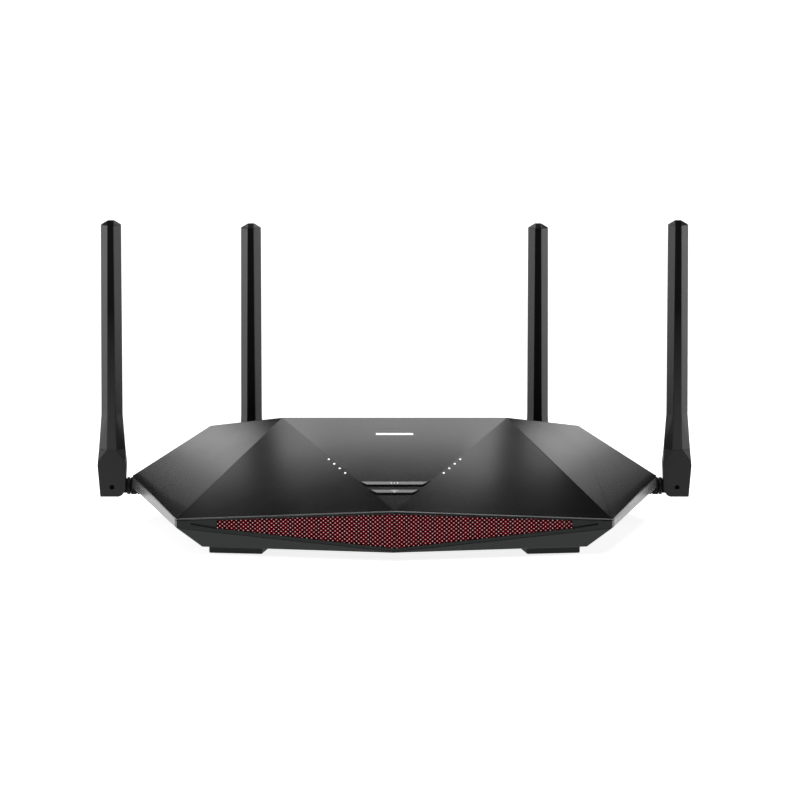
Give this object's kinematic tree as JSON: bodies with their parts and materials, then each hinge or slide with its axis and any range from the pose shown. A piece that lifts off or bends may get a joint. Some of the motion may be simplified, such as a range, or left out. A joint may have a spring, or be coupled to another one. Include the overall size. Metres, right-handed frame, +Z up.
{
  "type": "wireless router",
  "caption": "Low faceted wireless router with a red mesh front, lit status dots, press buttons, rear sockets and antennas that swivel and tilt.",
  "frame": {"origin": "middle of the whole object's box, on the table under the feet", "axes": "+Z up, the mesh front faces -Y, the sockets face +Y, +X to the right seen from the front"},
  "size_m": [0.3376, 0.2232, 0.1694],
  "materials": {
    "housing_top": "satin moulded black ABS",
    "housing_base": "fine matte black ABS",
    "bezel": "satin black ABS",
    "mesh_red": "deep red painted woven wire",
    "panel_black": "matte black ABS",
    "label": "blank grey polyester label",
    "foot_rubber": "black rubber",
    "diffuser": "white translucent acrylic",
    "button_black": "polished black ABS",
    "button_rear": "matte black ABS",
    "board_green": "solder mask over glass fibre",
    "led_white": "clear epoxy LED",
    "screw_steel": "zinc plated steel",
    "screw_black": "black oxide steel",
    "ribbon": "white polyester ribbon",
    "component_black": "black epoxy and nylon",
    "shield_tin": "tin plated steel",
    "pad_grey": "silicone thermal pad",
    "fin_aluminium": "extruded aluminium",
    "wan_yellow": "yellow moulded nylon",
    "jack_black": "black moulded nylon",
    "usb_blue": "steel shell with a blue insert",
    "contact_gold": "gold plated contacts",
    "nut_nickel": "nickel plated brass",
    "antenna_black": "satin moulded black ABS",
    "lead_black": "black thin coaxial lead",
    "radiator_board": "copper tracks on glass fibre"
  },
  "bodies": {
    "housing": {"top_cover": "housing_top", "bottom_cover": "housing_base", "front_bezel": "bezel", "front_grille": "mesh_red", "rear_panel": "panel_black", "rating_label": "label", "foot_front_left": "foot_rubber", "foot_front_right": "foot_rubber", "foot_rear_left": "foot_rubber", "foot_rear_right": "foot_rubber", "light_bar": "diffuser", "light_pipes_left": "diffuser", "light_pipes_right": "diffuser", "front_board": "board_green", "front_board_leds": "led_white", "front_board_screws": "screw_steel", "ribbon_cable": "ribbon", "switch_housings": "component_black", "main_board": "board_green", "processor": "component_black", "memory_chips": "component_black", "wifi_chips": "component_black", "rf_shields": "shield_tin", "thermal_pad": "pad_grey", "heat_sink": "fin_aluminium", "heat_sink_screws": "screw_steel", "wan_jack": "wan_yellow", "lan_jack": "jack_black", "usb_jack": "usb_blue", "dc_jack": "jack_black", "jack_contacts": "contact_gold", "lan_transformers": "component_black", "capacitors": "component_black", "board_screws": "screw_steel", "case_screws": "screw_black", "antenna_jacks": "contact_gold", "antenna_jack_nuts": "nut_nickel", "coupling_nuts": "antenna_black", "coax_leads": "lead_black"},
    "wifi_button": {"wifi_button": "button_black"},
    "wps_button": {"wps_button": "button_black"},
    "power_button": {"power_button": "button_rear"},
    "reset_button": {"reset_button": "button_rear"},
    "knuckle_side_left": {"knuckle_side_left": "antenna_black"},
    "antenna_side_left": {"paddle_side_left": "antenna_black", "pin_side_left": "screw_black", "radiator_side_left": "radiator_board"},
    "knuckle_side_right": {"knuckle_side_right": "antenna_black"},
    "antenna_side_right": {"paddle_side_right": "antenna_black", "pin_side_right": "screw_black", "radiator_side_right": "radiator_board"},
    "knuckle_back_left": {"knuckle_back_left": "antenna_black"},
    "antenna_back_left": {"paddle_back_left": "antenna_black", "pin_back_left": "screw_black", "radiator_back_left": "radiator_board"},
    "knuckle_back_right": {"knuckle_back_right": "antenna_black"},
    "antenna_back_right": {"paddle_back_right": "antenna_black", "pin_back_right": "screw_black", "radiator_back_right": "radiator_board"}
  },
  "joints": [
    {"name": "side_left_swivel", "type": "hinge", "parent": "housing", "child": "knuckle_side_left", "pos_m": [-0.1606, 0.0594, 0.0177], "axis": [-1, 0, 0], "range_deg": [-90, 90]},
    {"name": "side_left_tilt", "type": "hinge", "parent": "knuckle_side_left", "child": "antenna_side_left", "pos_m": [-0.1606, 0.0594, 0.0177], "axis": [0, -1, 0], "range_deg": [0, 90]},
    {"name": "side_right_swivel", "type": "hinge", "parent": "housing", "child": "knuckle_side_right", "pos_m": [0.1606, 0.0594, 0.0177], "axis": [-1, 0, 0], "range_deg": [-90, 90]},
    {"name": "side_right_tilt", "type": "hinge", "parent": "knuckle_side_right", "child": "antenna_side_right", "pos_m": [0.1606, 0.0594, 0.0177], "axis": [0, 1, 0], "range_deg": [0, 90]},
    {"name": "back_left_swivel", "type": "hinge", "parent": "housing", "child": "knuckle_back_left", "pos_m": [-0.0824, 0.1034, 0.0118], "axis": [0, 1, 0], "range_deg": [-90, 90]},
    {"name": "back_left_tilt", "type": "hinge", "parent": "knuckle_back_left", "child": "antenna_back_left", "pos_m": [-0.0824, 0.1034, 0.0118], "axis": [-1, 0, 0], "range_deg": [0, 90]},
    {"name": "back_right_swivel", "type": "hinge", "parent": "housing", "child": "knuckle_back_right", "pos_m": [0.0824, 0.1034, 0.0118], "axis": [0, -1, 0], "range_deg": [-90, 90]},
    {"name": "back_right_tilt", "type": "hinge", "parent": "knuckle_back_right", "child": "antenna_back_right", "pos_m": [0.0824, 0.1034, 0.0118], "axis": [-1, 0, 0], "range_deg": [0, 90]},
    {"name": "wifi_button_press", "type": "slide", "parent": "housing", "child": "wifi_button", "axis": [0, 0.3292, -0.9443], "range_m": [0, 0.0008], "stiffness_N_per_m": 1500},
    {"name": "wps_button_press", "type": "slide", "parent": "housing", "child": "wps_button", "axis": [0, 0.3292, -0.9443], "range_m": [0, 0.0008], "stiffness_N_per_m": 1500},
    {"name": "power_button_press", "type": "slide", "parent": "housing", "child": "power_button", "axis": [0, -1, 0], "range_m": [0, 0.002], "stiffness_N_per_m": 800},
    {"name": "reset_button_press", "type": "slide", "parent": "housing", "child": "reset_button", "axis": [0, -1, 0], "range_m": [0, 0.0004], "stiffness_N_per_m": 3000}
  ]
}
